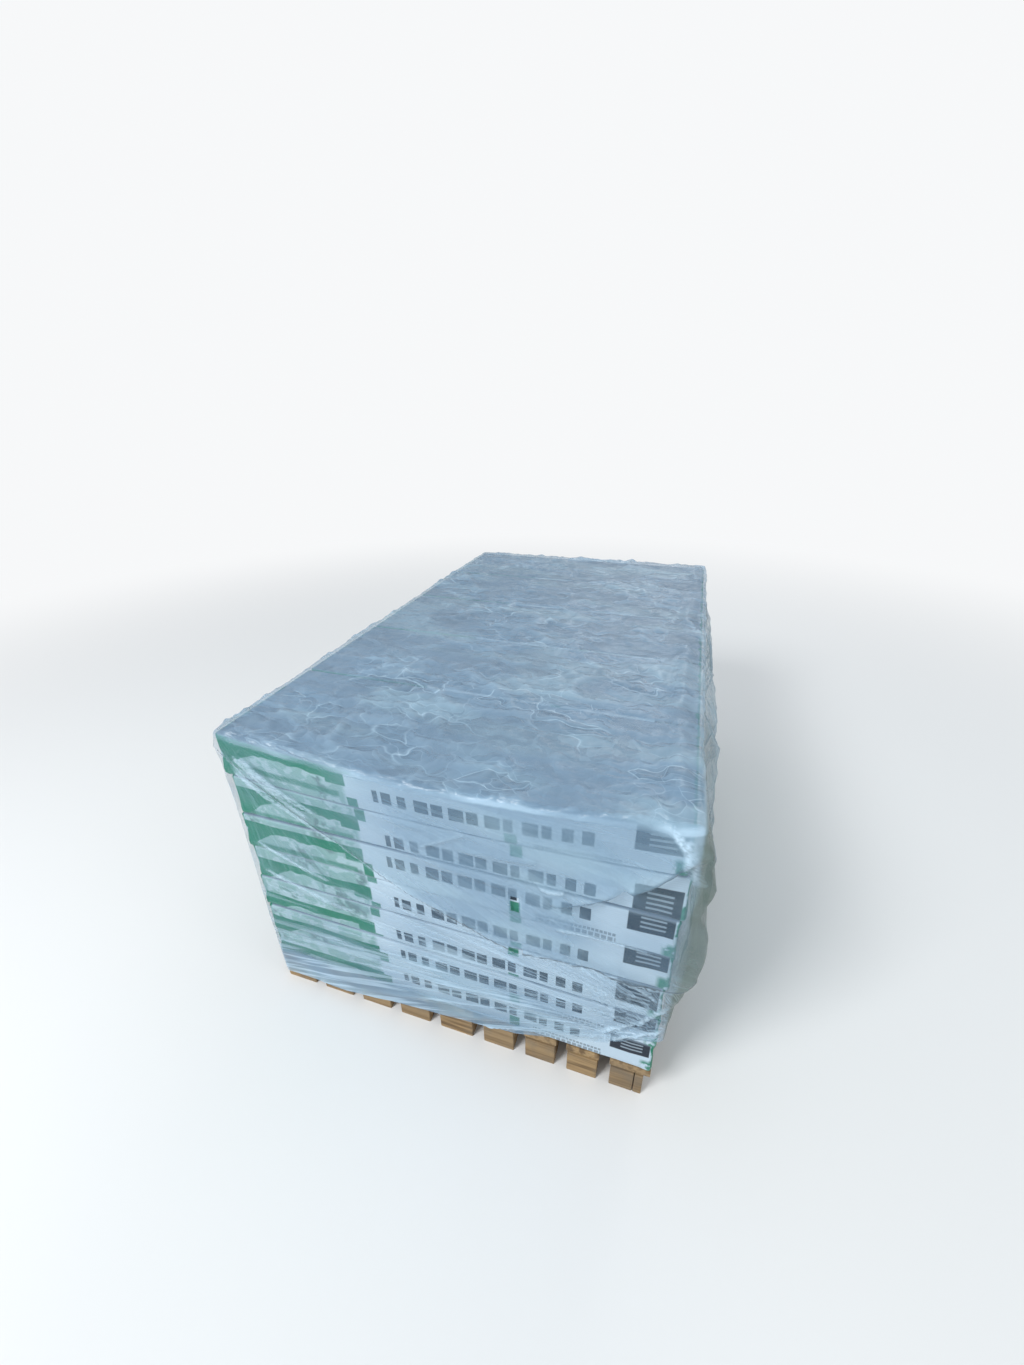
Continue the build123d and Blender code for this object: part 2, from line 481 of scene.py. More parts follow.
# %% [markdown]
# ## The wrapper's print
#
# Each bundle is a stack of shingles in a tight plastic wrapper. The wrapper is off-white, with a green
# flag at one end, green end caps, a dark panel at the other end, a row of plain bars along the middle
# and a few fine lines. The print is drawn by the material from a place on the bundle that each point of
# the mesh carries, because every bundle has the same print, whatever layer it lies in. The wrappers
# are turned round their bundles a little differently, so each carries the heights of its own print too.

# %% Printed bar


def build_bar(tree, place, left, right, low, high, blur):
    """1 inside the rectangle from Left to Right and from Low to High, with edges that fade over Blur.
    Each way it is half the width less the distance from the middle, divided by Blur; the two are
    clamped and multiplied."""
    middle = Node(tree, "CombineXYZ", {"X": (left + right) * 0.5, "Z": (low + high) * 0.5})[0]
    half = Node(tree, "CombineXYZ", {"X": (right - left) * 0.5, "Z": (high - low) * 0.5})[0]
    away = place.vector("SUBTRACT", middle).vector("ABSOLUTE")
    across, _, upward = half.vector("SUBTRACT", away).vector("SCALE", 1.0 / blur).parts()
    return {"Mask": across.math("ADD", 0.5, clamp=True) * upward.math("ADD", 0.5, clamp=True)}


bar_group = new_group(
    "printed_bar",
    {"Place": None, "Left": 0.0, "Right": 0.1, "Low": 0.0, "High": 0.1, "Blur": 0.002},
    build_bar,
)


def bar(place, left, right, low, high, blur=0.003):
    """The mask of one bar, at a place."""
    inputs = {"Place": place, "Left": left, "Right": right, "Low": low, "High": high, "Blur": blur}
    return Node(place.tree, "Group", inputs, node_tree=bar_group)["Mask"]

# %% Wrapper finish
WRAPPER_WHITE = hue(0.53, 0.66, 0.76)
WRAPPER_GREEN = hue(0.0, 0.185, 0.105)
WRAPPER_PALE_GREEN = hue(0.17, 0.36, 0.33)
WRAPPER_SHADE = hue(0.13, 0.18, 0.25)
PANEL_DARK = hue(0.007, 0.014, 0.027)
BAR_GREY = hue(0.018, 0.032, 0.052)
SHINGLE_PITCH = 0.0048
CORNER_FOLD = 0.010
# Parts of the print: left, right, low and high, and how far the edges fade. Left and right are counted
# from the bundle's left end. Low and high are counted from the flag's top, from the foot of the row of
# bars, from the panel's foot, or for the corners from the bundle's foot.
FLAG_FIELD = (-0.02, 0.325, -0.2, 0.2, 0.012)
FLAG_STRIP_ENDS = (-0.02, 0.331)
FLAG_BLOCK = (0.283, 0.331, -0.043, 0.0)
FLAG_SECOND_STRIP = (0.03, 0.31, -0.078, -0.062, 0.006)
RIGHT_CORNER = (0.990, 1.04, -0.01, 0.036, 0.010)
LEFT_CORNER = (-0.01, 0.030, -0.01, 0.048, 0.012)
SMALL_BAR_ENDS = ((0.327, 0.352), (0.676, 0.701))
SMALL_BAR_LEVELS = ((-0.2, -0.004), (0.060, 0.2))
BAR_ROW = (0.392, 0.848, 0.0, 0.033, 0.002)
BAR_PITCH = 0.0375
FINE_ROW_ENDS = (0.735, 0.900)
FINE_ROWS = ((-0.044, -0.032, 0.0130), (-0.028, -0.020, 0.0085))
PANEL = (0.918, 1.006, 0.0, 0.070, 0.002)
PANEL_MARKS = (0.942, 0.990, 0.010, 0.060, 0.002)
PANEL_MARK_PITCH = 0.0125
# Scale and detail of the wrapper's noises.
BLOTCH_NOISE = (34.0, 5.0)
BROAD_NOISE = (11.0, 2.0)
CRINKLE_NOISE = (60.0, 3.0)


def wrapper_material():
    """Printed wrapper: bars of colour by place, the dark shingles showing through the top, faint edges
    of the stack along the sides, and a creased, softly glossy surface. The place has its zero at the
    lower left corner of a bundle. slides are the heights there of the flag's top, of the foot of the
    row of bars, and of the panel's foot."""
    material, tree, shader = new_material("printed_wrapper")
    place, slides, kind = (
        Node(tree, "Attribute", attribute_name="wrapper_" + name)["Vector"]
        for name in ("place", "slides", "side")
    )
    on_end, on_long, on_top = (abs(part) for part in kind.parts())
    right, _, up = place.parts()
    flag, row, foot = slides.parts()
    by_flag, by_row, by_panel = (
        Node(tree, "CombineXYZ", {"X": right, "Z": up - height})[0] for height in (flag, row, foot)
    )
    where = Node(tree, "TexCoord")["Object"]
    blotch = where.noise(*BLOTCH_NOISE)[0]
    broad = where.noise(*BROAD_NOISE)[0]

    # The green flag: a strip that is deeper at its left end and has a block at its right end, and below
    # it a pale field with blotches of white and a second, thin strip.
    field = bar(by_flag, *FLAG_FIELD) * on_long
    colour = (field * 0.80).mix(WRAPPER_WHITE, WRAPPER_PALE_GREEN)
    colour = (field * blotch.step(0.50, 0.58) * 0.45).mix(colour, WRAPPER_WHITE)
    scuff = field * broad.step(0.52, 0.60) * blotch.step(0.52, 0.44)
    colour = (scuff * 0.45).mix(colour, BAR_GREY)
    torn = broad.step(0.40, 0.62) * 0.008 + blotch * 0.016
    wedge = right.step(0.0, 0.11, -0.064, -0.014) - torn
    # Then green at the lower corners, and two small bars, below the row of grey bars and again further
    # round the wrapper.
    strip = bar(by_flag, *FLAG_STRIP_ENDS, wedge, 0.0).most(
        bar(by_flag, *FLAG_BLOCK),
        bar(by_flag, *FLAG_SECOND_STRIP) * 0.75,
        bar(place, *RIGHT_CORNER) * blotch.step(0.38, 0.46),
        bar(place, *LEFT_CORNER),
        *[bar(by_row, *ends, *levels) for ends in SMALL_BAR_ENDS for levels in SMALL_BAR_LEVELS],
    )
    colour = (strip * on_long * 0.94).mix(colour, WRAPPER_GREEN)

    # The row of plain grey bars of uneven widths, fine lines, and the dark panel with plain pale bars.
    beat = right * (1 / BAR_PITCH)
    chance = Node(tree, "TexWhiteNoise", {"W": beat.math("FLOOR")}, noise_dimensions="1D")["Value"]
    dash = beat.math("FRACT").math("LESS_THAN", chance.step(0.0, 1.0, 0.50, 0.86))
    grey = bar(by_row, *BAR_ROW) * dash
    for low, high, pitch in FINE_ROWS:
        word = (right * (1 / pitch)).math("FRACT").math("LESS_THAN", 0.76)
        grey = grey.most(bar(by_row, *FINE_ROW_ENDS, low, high, 0.002) * word * 0.55)
    colour = (grey * on_long).mix(colour, BAR_GREY)
    colour = (bar(by_panel, *PANEL) * on_long).mix(colour, PANEL_DARK)
    ruled = ((up - foot) * (1 / PANEL_MARK_PITCH)).math("FRACT").math("LESS_THAN", 0.42)
    colour = (ruled * bar(by_panel, *PANEL_MARKS) * on_long * 0.50).mix(colour, WRAPPER_WHITE)

    # The stack's edges show along the sides, and its dark top shows through the plain upper face.
    edges = (up * (2 * math.pi / SHINGLE_PITCH)).math("SINE").step(0.2, 1.0)
    colour = (edges * 0.14 * on_long).mix(colour, WRAPPER_SHADE)
    colour = on_top.step(0.6, 0.98, 0.0, 0.85).mix(colour, WRAPPER_SHADE)

    # End caps: green, with the white underside of the folded flaps along the seam. The green runs on
    # round the corners a little way.
    flap = (abs(up - bundle_height / 2) + blotch * 0.02).step(0.018, 0.026, 1.0, 0.0)
    cap = (flap * 0.8).mix(WRAPPER_GREEN, WRAPPER_WHITE)
    past_end = abs(right - bundle_length / 2) - (bundle_length / 2 - CORNER_FOLD)
    at_end = (past_end + blotch * 0.03).step(0.016, 0.022).most(on_end.step(0.3, 0.6))
    set_inputs(shader, {
        "Base Color": at_end.mix(colour, cap),
        "Normal": where.noise(*CRINKLE_NOISE)[0].bump(0.35, 0.002),
        "Roughness": blotch.step(0.3, 0.7, 0.30, 0.48),
        "Specular IOR Level": 0.22,
    })
    return material


wrapper_finish = wrapper_material()

# %% [markdown]
# ## The wrapped bundles
#
# A bundle is a long flat box with soft edges. Its long sides wave a little, because the shingles inside
# are not in line. At each end the wrapper is folded like a parcel: the sides are tucked in as
# triangles, the upper and lower flaps close over them, and a welded seam runs across the middle. All
# of this is a height over the box's skin, as a function of the place on it.

# %% Bundle shape
BUNDLE_ROUND = 0.009
BUNDLE_STEPS = (0.021, 0.0125, 0.0105)
TUCK_REACH = 0.052
TUCK_DEPTH = 0.0035
SEAM_HEIGHT = 0.0018
SIDE_WAVE = 0.0022
LUMP_HEIGHT = 0.0045
LUMP_PLACE = 0.018
LUMP_REACH = (0.022, 0.016)

half_bundle = np.array([bundle_length, bundle_width, bundle_height]) / 2
bundle_lines = [grid_lines(-half, half, step, BUNDLE_ROUND) for half, step in zip(half_bundle, BUNDLE_STEPS)]
bundle_skin, bundle_faces = box_skin(bundle_lines, ALL_SIDES)
bundle_points, bundle_facing = rounded(bundle_skin, -half_bundle, half_bundle, BUNDLE_ROUND)


def bundle_shape(number, front_free, back_free):
    """One bundle on its own centre: the rounded box, plus heights along its facing.
    Long sides: noise along the side, that may stand out where the side is free, and a lump at the lower
    corners, where the wrapper is folded together. Ends: a dent inside the two triangles whose base is
    the end's upright edge, a low ridge along the seam, and crumples."""
    x, y, z = bundle_points.T
    end, long_side, flat = np.abs(bundle_facing).T
    shift = 3.7 * number
    wave = cloud(x + shift, z, 0.11, 5) - 0.5 + 0.6 * (cloud(x + shift, z, 0.035, 6) - 0.5)
    free = np.where(y < 0, front_free, back_free)
    out = long_side ** 3 * (SIDE_WAVE * (wave - 0.55) * (1 + 0.6 * free))
    from_end = (half_bundle[0] - np.abs(x)) / LUMP_REACH[0]
    from_foot = (z + half_bundle[2] - LUMP_PLACE) / LUMP_REACH[1]
    corner = np.exp(-(from_end ** 2 + from_foot ** 2))
    out += long_side ** 2 * free * LUMP_HEIGHT * corner * (0.4 + cloud(x + shift, z, 0.02, 9))
    inset = half_bundle[1] - np.abs(y)
    inside = TUCK_REACH * (1 - np.abs(z) / half_bundle[2]) - inset
    crumple = cloud(y + shift, z + 9.0 * (x > 0), 0.018, 7) - 0.5
    dent = -TUCK_DEPTH * ease(inside / 0.008)
    crease = 0.0012 * np.exp(-((inside / 0.005) ** 2))
    seam = SEAM_HEIGHT * np.exp(-((z / 0.004) ** 2)) * ease((inset - TUCK_REACH) / 0.01)
    out += end ** 4 * (dent + crease + seam + 0.0022 * crumple - 0.001)
    out += flat ** 4 * 0.0012 * (cloud(x + shift, y, 0.06, 8) - 1.0)
    return bundle_points + out[:, None] * bundle_facing


# %% Bundle layers
# For each layer, heights in millimetres on the front above the bundle's foot: the flag's top, the foot
# of the row of bars and the panel's foot. Some layers also lie a little to the right.
PRINT_SLIDES = np.array((
    (52, 49, 52), (66, 46, 58), (48, 16, 33), (66, 25, 53), (85, 50, 54), (78, 9, 1), (103, 34, 44),
)) / 1000
LAYER_SHIFTS = (0.0, 0.0, 0.0, 0.004, 0.005, 0.007, 0.0)

for layer, (low, high) in enumerate(layer_boxes):
    points, faces = [], []
    for row in range(ROWS):
        centre_y = low.y + bundle_width / 2 + row * (bundle_width + ROW_GAP)
        centre = np.array([(low.x + high.x) / 2 + LAYER_SHIFTS[layer], centre_y, (low.z + high.z) / 2])
        local = bundle_shape(layer * ROWS + row, row == 0, row == ROWS - 1)
        faces.append(bundle_faces + len(bundle_points) * row)
        points.append(settled(local + centre))
    piece = make_piece(
        f"wrapped_bundles_{layer + 1}", np.concatenate(points), np.concatenate(faces), wrapper_finish,
        {
            "wrapper_place": np.tile(bundle_points + half_bundle, (ROWS, 1)),
            "wrapper_side": np.tile(bundle_facing, (ROWS, 1)),
            "wrapper_slides": np.tile(PRINT_SLIDES[layer], (ROWS * len(bundle_points), 1)),
        },
    )
    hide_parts(f"bundle_layer_{layer + 1}")
print("bundles", ROWS * LAYERS, "with", len(bundle_faces), "faces each")

# %% [markdown]
# ## The film cover
#
# The film is one loose bag, open below. On the front it is pulled tight from the upper left corner, so
# folds fan out from there, and the edge of a second turn of film runs across as a crinkled line. Above
# that line the film hangs slack and milky. Below it the film is stretched towards the lower right
# corner and full of fine long lines. At the right-hand side it hangs off in two baggy puffs, and its
# hem hangs low at the left and rises to the right. The film is a net on the skin of a box, and each of
# these is a height over one side of it.

# %% Film skin
FILM_CLEAR = 0.0045
FILM_TOP_CLEAR = 0.0025
FILM_ROUND = 0.014
FILM_STEPS = (0.0072, 0.0122, 0.0066)
FILM_LEANS = (0.0, 0.28, 0.0)
HEM_NOMINAL = 0.095

film_low = np.array([-half_wide - FILM_CLEAR, -half_long - FILM_CLEAR, HEM_NOMINAL])
film_high = np.array([half_wide + FILM_CLEAR, half_long + FILM_CLEAR, load_top + FILM_TOP_CLEAR])
film_lines = [
    grid_lines(low, high, step, FILM_ROUND, lean)
    for low, high, step, lean in zip(film_low, film_high, FILM_STEPS, FILM_LEANS)
]
film_skin, film_faces = box_skin(film_lines, [side for side in ALL_SIDES if side != (2, 0)])
below = film_low - np.array([0, 0, 1.0])
film_flat, film_facing = rounded(film_skin, below, film_high, FILM_ROUND)
print("film net", len(film_skin), "points")

# %% Film hem


def curve(*points):
    """The places and the heights of a curve's points, from pairs in millimetres."""
    return np.array(points).T / 1000


HEM_SIDE = 0.084
# The hem along the front: place across it and height.
HEM_CURVE = curve(
    (-550, 24), (-250, 33), (-134, 49), (-34, 60), (57, 66), (184, 84), (297, 128), (365, 160),
    (456, 218), (540, 258),
)
HEM_STRETCH_TOP = 0.50


def hem_height(x, y):
    """Height of the hem: a curve across the front, which turns into the side's height behind it."""
    front = np.interp(x, *HEM_CURVE)
    ragged = 0.004 * (cloud(x + 2 * y, y, 0.05, 21) - 0.5)
    behind = ease((y + half_long - 0.02) / np.where(x > 0, 0.12, 0.30))
    return front * (1 - behind) + HEM_SIDE * behind + ragged


def hung(points):
    """The box skin with its lower edge on the hem: heights below a level are stretched or shortened so
    that the lowest one falls on the hem."""
    x, y, z = points.T
    share = np.clip((HEM_STRETCH_TOP - z) / (HEM_STRETCH_TOP - HEM_NOMINAL), 0, 1)
    z = np.where(share > 0, HEM_STRETCH_TOP - share * (HEM_STRETCH_TOP - hem_height(x, y)), z)
    return np.stack([x, y, z], axis=1)


# %% [markdown]
# ### The folds
#
# A fold of film has a broad shape and a thin line where it turns, which is painted: a painted highlight
# along some folds and a painted shadow under others. Each fold is written once, as a bowed line from
# one point to another, and used twice: it lifts the net, and it gives the net's points a value that says
# how close they are to the line, along which the material paints that highlight or shadow.

# %% Fold lines
# Each fold on the front, in millimetres: start and end as x, z, x, z, then bow, height, and reach above
# and below the line. The last number is in hundredths: how strong the painted highlight along its line
# is, or, below 0, how dark the painted shadow along it is. At 0 the fold has no painted line of its own.
FRONT_FOLDS = np.array((
    # The pouch at the upper right: its lower edge in two parts with painted shadows, and the crease inside
    # it.
    (250, 590, 405, 682, -8, 16, 45, 4, -60),
    (395, 676, 510, 795, -12, 24, 45, 4, -80),
    (418, 702, 500, 790, 6, 4, 12, 3, 0),
    # The fan that starts at the upper left corner.
    (-475, 808, -265, 658, -10, 9, 10, 5, 100),
    (-455, 810, -235, 680, -18, 8, 9, 4, 90),
    (-495, 765, -220, 606, -4, 8, 10, 5, 95),
    (-490, 740, -300, 612, 4, 5, 7, 3, 0),
    (-500, 640, -270, 575, 10, 4, 10, 4, 0),
    (-490, 560, -250, 470, -10, 5, 10, 4, 80),
    (-500, 470, -180, 395, -14, 7, 10, 5, 85),
    (-476, 384, -150, 400, 12, 4, 14, 5, 0),
    # Slack folds in the milky part.
    (-30, 664, 110, 752, 0, 5, 20, 5, 10),
    (60, 694, 250, 704, -8, 6, 25, 6, 0),
    (230, 636, 300, 650, -6, 6, 15, 5, 35),
    (-330, 772, 20, 725, -10, 6, 25, 6, 0),
    (250, 520, 495, 524, 12, 7, 22, 6, 35),
    (-80, 640, 190, 600, 4, 5, 30, 6, 0),
    # Folds that gather towards the lower right corner.
    (372, 432, 508, 378, 10, 7, 10, 4, 60),
    (349, 210, 518, 399, -22, 9, 12, 5, 70),
    (400, 194, 520, 300, 2, 9, 12, 5, 75),
    (330, 420, 510, 350, 6, 7, 8, 4, 0),
    (250, 300, 512, 320, -12, 7, 10, 4, 45),
    (-50, 285, 480, 335, -12, 6, 14, 5, 0),
    (-300, 215, 420, 255, -20, 6, 16, 6, 0),
    (-440, 330, 150, 235, -12, 6, 16, 6, 0),
    (-200, 470, 300, 375, -20, 6, 12, 5, 0),
    (-280, 540, 60, 405, 6, 4, 10, 4, 0),
    # The ridges that come down over the upper right corner.
    (496, 832, 516, 700, -6, 7, 10, 5, 55),
    (462, 838, 502, 792, 0, 10, 10, 6, 70),
)) / ([1000] * 8 + [100])
FRONT_FOLDS = FRONT_FOLDS.tolist()
FOLD_TENT = 0.016

def lip(off, above, below):
    """A fold that leans over: it rises slowly from one side of a line and drops sharply on the other."""
    return np.where(off > 0, np.exp(-np.abs(off) / above), np.exp(-((off / below) ** 2)))


def off_line(u, v, start_u, start_v, end_u, end_v, bow):
    """Distance above a bowed line, and a window that fades at both ends of it."""
    du, dv = end_u - start_u, end_v - start_v
    length = math.hypot(du, dv)
    along = ((u - start_u) * du + (v - start_v) * dv) / length ** 2
    off = ((v - start_v) * du - (u - start_u) * dv) / length
    return off - bow * 4 * along * (1 - along), ease(along / 0.18) * ease((1 - along) / 0.18)


def fold_tent(u, v, dark):
    """How close each point is to a drawn fold, from 0 to 1: a tent over the line, which the film's
    material sharpens into a thin painted highlight or painted shadow. dark picks the folds with painted
    shadows instead of the ones with painted highlights."""
    near = np.zeros(len(u))
    for *path, height, reach, drop, line in FRONT_FOLDS:
        shown = -line if dark else line
        if shown > 0:
            off, window = off_line(u, v, *path)
            tent = np.clip(1 - np.abs(off) / FOLD_TENT, 0, 1) * window
            near = np.maximum(near, tent * (0.40 + 0.60 * shown))
    return near


print("folds on the front", len(FRONT_FOLDS))

# %% Film on the front
FAN_CENTRE = (-0.51, 0.845)
PULL_CENTRE = (0.58, 0.29)
# The crinkled edge across the front, and the pouch's lower edge: place across it and height.
EDGE_CURVE = curve(
    (-510, 800), (-350, 690), (-225, 609), (-197, 592), (-139, 548), (-78, 520), (-26, 487), (83, 446),
    (121, 432), (170, 420), (232, 418), (347, 431), (438, 425), (550, 432),
)
POUCH_CURVE = curve(
    (220, 585), (264, 594), (309, 612), (339, 632), (371, 658), (403, 679), (441, 700), (472, 726),
    (499, 766), (540, 800),
)
# Heights of the slack belly, its soft waves, the fan, the edge, the pulled creases and the crumples that
# gather at the lower right.
BELLY_HEIGHT = 0.006
SOFT_HEIGHT = 0.004
FAN_HEIGHT = 0.003
EDGE_RIM_HEIGHT = 0.004
PULL_HEIGHT = 0.004
BUNCH_HEIGHT = 0.004
# Ridges round a centre: first and last angle in degrees, how many, and how far they reach.
FAN_RIDGES = (278.0, 345.0, 11, 0.66)
PULL_RIDGES = (140.0, 215.0, 26, 1.25)


def fan(u, v, centre, first, last, count, reach, seed):
    """Ridges that run out from a centre: a crease pattern of the angle round it, between a first and
    a last angle, that starts a little way out and fades at its reach."""
    away = np.hypot(u - centre[0], v - centre[1])
    angle = np.degrees(np.arctan2(v - centre[1], u - centre[0])) % 360
    turn = (angle - first) / (last - first)
    wander = 0.25 * (cloud(u, v, 0.13, seed + 2) - 0.5)
    ridge = creases(turn * count + wander, away * 2.0, 1.0, 0.16, seed)
    window = ease(turn / 0.12) * ease((1 - turn) / 0.12) * ease(away / 0.07)
    window = window * ease((reach - away) / (reach * 0.5))
    return ridge * window


def edge_height(x):
    """Height of the crinkled edge of the outer turn of film, across the front."""
    return np.interp(x, *EDGE_CURVE) + 0.008 * (cloud(x, 0 * x, 0.04, 31) - 0.5)


def film_front(x, z):
    """How far the film stands off the front, and how sharply it is creased there: a slack belly above
    the crinkled edge, the folds, the fan, the edge itself, and long creases below it."""
    off_edge = z - edge_height(x)
    above = ease(off_edge / 0.03)
    belly = BELLY_HEIGHT * above * np.exp(-(((x - 0.05) / 0.35) ** 2 + ((z - 0.66) / 0.13) ** 2))
    soft = SOFT_HEIGHT * (cloud(x, z, 0.16, 32) - 0.35)
    spread = fan(x, z, FAN_CENTRE, *FAN_RIDGES, 33)
    rim = lip(off_edge, 0.012, 0.004) * (0.5 + 0.9 * cloud(x, z, 0.02, 34))
    pull = fan(x, z, PULL_CENTRE, *PULL_RIDGES, 35) * (1 - above)
    bunch = facets(x, z, 0.035, 0.20, 37) * ease((x - 0.30) / 0.10) * ease((0.46 - z) / 0.1)
    folds = np.zeros(len(x))
    for *path, height, reach, drop, line in FRONT_FOLDS:
        off, window = off_line(x, z, *path)
        folds += height * window * lip(off, reach, drop + 0.002)
    sharp = FAN_HEIGHT * spread + EDGE_RIM_HEIGHT * rim + PULL_HEIGHT * pull + BUNCH_HEIGHT * bunch
    return belly + soft + folds + sharp, sharp


# %% Slack sides, back and top
SLACK_CREASES = (0.010, 0.0035)
BACK_WAVE = 0.008
BACK_CREASES = (0.006, 0.003)
TOP_PATCH = 0.007
TOP_CREASES = (0.009, 0.006, 0.0025)
TOP_RIDGE = 0.013
TOP_CORNER = 0.008
# Height above the deck in thousandths of the load's height, and how far the film stands off there.
PUFF_CURVE = curve(
    (-120, 6), (100, 12), (300, 38), (460, 32), (680, 54), (940, 4), (1200, 0),
)
# The right-hand side's outline at the front corner: height, and how far it stands off there.
CORNER_CURVE = curve(
    (240, 10), (300, 11), (360, 16), (410, 28), (460, 44), (520, 50), (580, 46), (640, 30), (700, 44),
    (760, 32), (820, 14),
)


def film_slack(y, z, seed):
    """How far a slack side stands off: two puffs one above the other, uneven along the load, with
    hanging folds."""
    level = (z - deck_top) / load_height + 0.05 * (cloud(y, 0 * y, 0.35, seed) - 0.5)
    puff = through(level, *PUFF_CURVE) * (1 - 0.45 * ease((y - half_long + 0.30) / 0.30))
    puff = puff * (0.80 + 0.4 * cloud(y, z, 0.24, seed + 1))
    hanging = creases(y + 0.15 * z, 0.3 * z, 0.075, 0.16, seed + 2)
    small = creases(y, z, 0.04, 0.12, seed + 3)
    sharp = SLACK_CREASES[0] * hanging * (0.3 + puff / 0.06) + SLACK_CREASES[1] * small
    return puff, sharp


def film_right(y, z):
    """The right-hand side: at the front corner its outline is the one seen there, and it turns into the
    even slack of the rest over the first part of the side."""
    puff, sharp = film_slack(y, z, 41)
    near = 1 - ease((y + half_long) / 0.25)
    corner = through(z, *CORNER_CURVE)
    sharp = sharp * (1 - 0.6 * near)
    return puff * (1 - near) + corner * near + sharp, sharp


def film_left(y, z):
    """The left-hand side: almost tight at the front corner, with a small bag at the top."""
    puff, sharp = film_slack(y, z, 45)
    far = ease((y + half_long) / 0.22)
    bag = 0.010 * np.exp(-(((z - 0.785) / 0.022) ** 2)) + 0.004 * np.exp(-(((z - 0.715) / 0.02) ** 2))
    return puff * far + bag * (1 - far) + sharp * (0.25 + 0.75 * far), sharp


def film_back(x, z):
    """How far the film stands off the back: soft waves and long hanging creases."""
    soft = BACK_WAVE * cloud(x, z, 0.22, 51)
    hanging = creases(x + 0.3 * z, 0.35 * z, 0.09, 0.14, 52)
    small = creases(x, z, 0.05, 0.12, 53)
    sharp = BACK_CREASES[0] * hanging + BACK_CREASES[1] * small
    return soft + sharp, sharp


def film_top(x, y):
    """How high the film lies over the top: crumples of three sizes, longer from side to side, and a
    puffed ridge near the right-hand edge."""
    bent = 0.05 * cloud(x, y, 0.11, 60)
    large = facets(0.5 * x + bent, y + 0.25 * x + bent, 0.12, 0.13, 61)
    middle = facets(0.6 * x + bent, y - 0.2 * x, 0.055, 0.17, 62)
    small = facets(x, y + bent, 0.027, 0.26, 63)
    patch = cloud(x, y, 0.20, 64)
    ridge = np.exp(-(((x - 0.468 + 0.02 * (cloud(y, 0 * y, 0.2, 66) - 0.5)) / 0.022) ** 2))
    ridge = ridge * (0.25 + 0.9 * cloud(y, 0 * y, 0.13, 65)) * ease((half_long - np.abs(y)) / 0.1)
    off, window = off_line(x, y + half_long, 0.425, 0.070, 0.470, -0.010, 0.0)
    corner = TOP_CORNER * window * np.exp(-np.abs(off) / 0.010)
    sharp = TOP_CREASES[0] * large * patch + TOP_CREASES[1] * middle * cloud(x, y, 0.15, 67)
    sharp = sharp + TOP_CREASES[2] * small
    return TOP_PATCH * patch + sharp + TOP_RIDGE * ridge + corner, 0.5 * sharp


# %% Film cover
# The height from which a crease is drawn in full.
FULL_CREASE = 0.008


def film_cover():
    """The film net with all its heights, and values for its material: how sharply it is creased, how
    milky it is, how baggy, and how far it is above the crinkled edge on the front."""
    points = hung(film_flat)
    x, y, z = points.T
    right, back, top = np.clip(film_facing.T, 0, 1)
    left, front = np.clip(-film_facing.T[:2], 0, 1)
    moved = points.copy()
    crease = np.zeros(len(points))
    fields = (
        (front, (0, -1, 0), film_front(x, z)),
        (back, (0, 1, 0), film_back(x, z)),
        (right, (1, 0, 0), film_right(y, z)),
        (left, (-1, 0, 0), film_left(y, z)),
        (top, (0, 0, 1), film_top(x, y)),
    )
    for share, way, (height, sharp) in fields:
        moved += (share * height)[:, None] * np.array(way, float)
        crease += share * sharp
    edge = z - edge_height(x)
    low = ease((0.150 - z) / 0.06) * ease((0.30 - x) / 0.15)
    slack = 0.28 * ease((x + 0.16) / 0.14) + 0.50 * ease(edge / 0.006) * ease((x + 0.30) / 0.16)
    below_pouch = ease((np.interp(x, *POUCH_CURVE) - z) / 0.006)
    slack -= 0.52 * ease((x - 0.27) / 0.12) * below_pouch * ease(edge / 0.006)
    slack += 0.26 * ease((0.286 - z) / 0.014) * ease((0.36 - x) / 0.1)
    slack = slack * (1 - low) + 1.5 * low
    milky = front * slack + 0.35 * right + 0.35 * left + 0.4 * back + 0.72 * top
    near = ease((0.45 - y - half_long) / 0.45)
    baggy = ease((moved[:, 0] - half_wide - 0.006) / 0.010) * (0.25 + 0.75 * near)
    values = {
        "film_crease": np.clip(crease / FULL_CREASE, 0, 1), "film_milky": milky, "film_baggy": baggy,
        "film_edge": np.where(front > 0.5, edge, 1.0), "film_top": top,
        "film_fold": front * fold_tent(x, z, False), "film_shade": front * fold_tent(x, z, True),
    }
    return settled(moved), values


film_points, film_values = film_cover()

# %% [markdown]
# ## The film's finish
#
# Thin polyethylene is nearly clear where it lies tight, and milky where it is slack, doubled or
# creased. The material mixes both by an alpha value. Stretch lines run to the point that the film is
# pulled from, so a group draws them by the angle round that point. Crumples are drawn along the edges
# of a net of random cells. Light and shade are also painted into the colour: painted highlights that add
# to the whitening of creases, folds and top edges, painted shadows under folds and the crinkled edge,
# and painted shade on crumple facets and on the baggy right-hand side.

# %% Pulled lines


def build_pull(tree, place, centre_x, centre_z, fineness, length):
    """Thin lines that run to a centre: noise over the angle round it and, much slower, over the distance
    from it. Fine lines are cut out of it where it is high."""
    x, _, z = place.parts()
    run = x - centre_x
    rise = z - centre_z
    steep = rise.math("ARCTAN2", abs(run))
    away = (run * run + rise * rise).math("SQRT")
    at = Node(tree, "CombineXYZ", {"X": steep * fineness, "Y": away / length})[0]
    inputs = {"Vector": at, "Scale": 1.0, "Detail": 2.0, "Roughness": 0.6}
    streak = Node(tree, "TexNoise", inputs, noise_dimensions="2D")[0]
    return {"Line": streak.step(0.47, 0.62)}


pull_group = new_group(
    "pulled_lines",
    {"Place": None, "Centre X": 0.0, "Centre Z": 0.0, "Fineness": 60.0, "Length": 0.5},
    build_pull,
)

# %% Crumples
CRUMPLE_WARP = 0.055
CRUMPLE_STRETCH = (0.62, 1.45, 1.0)


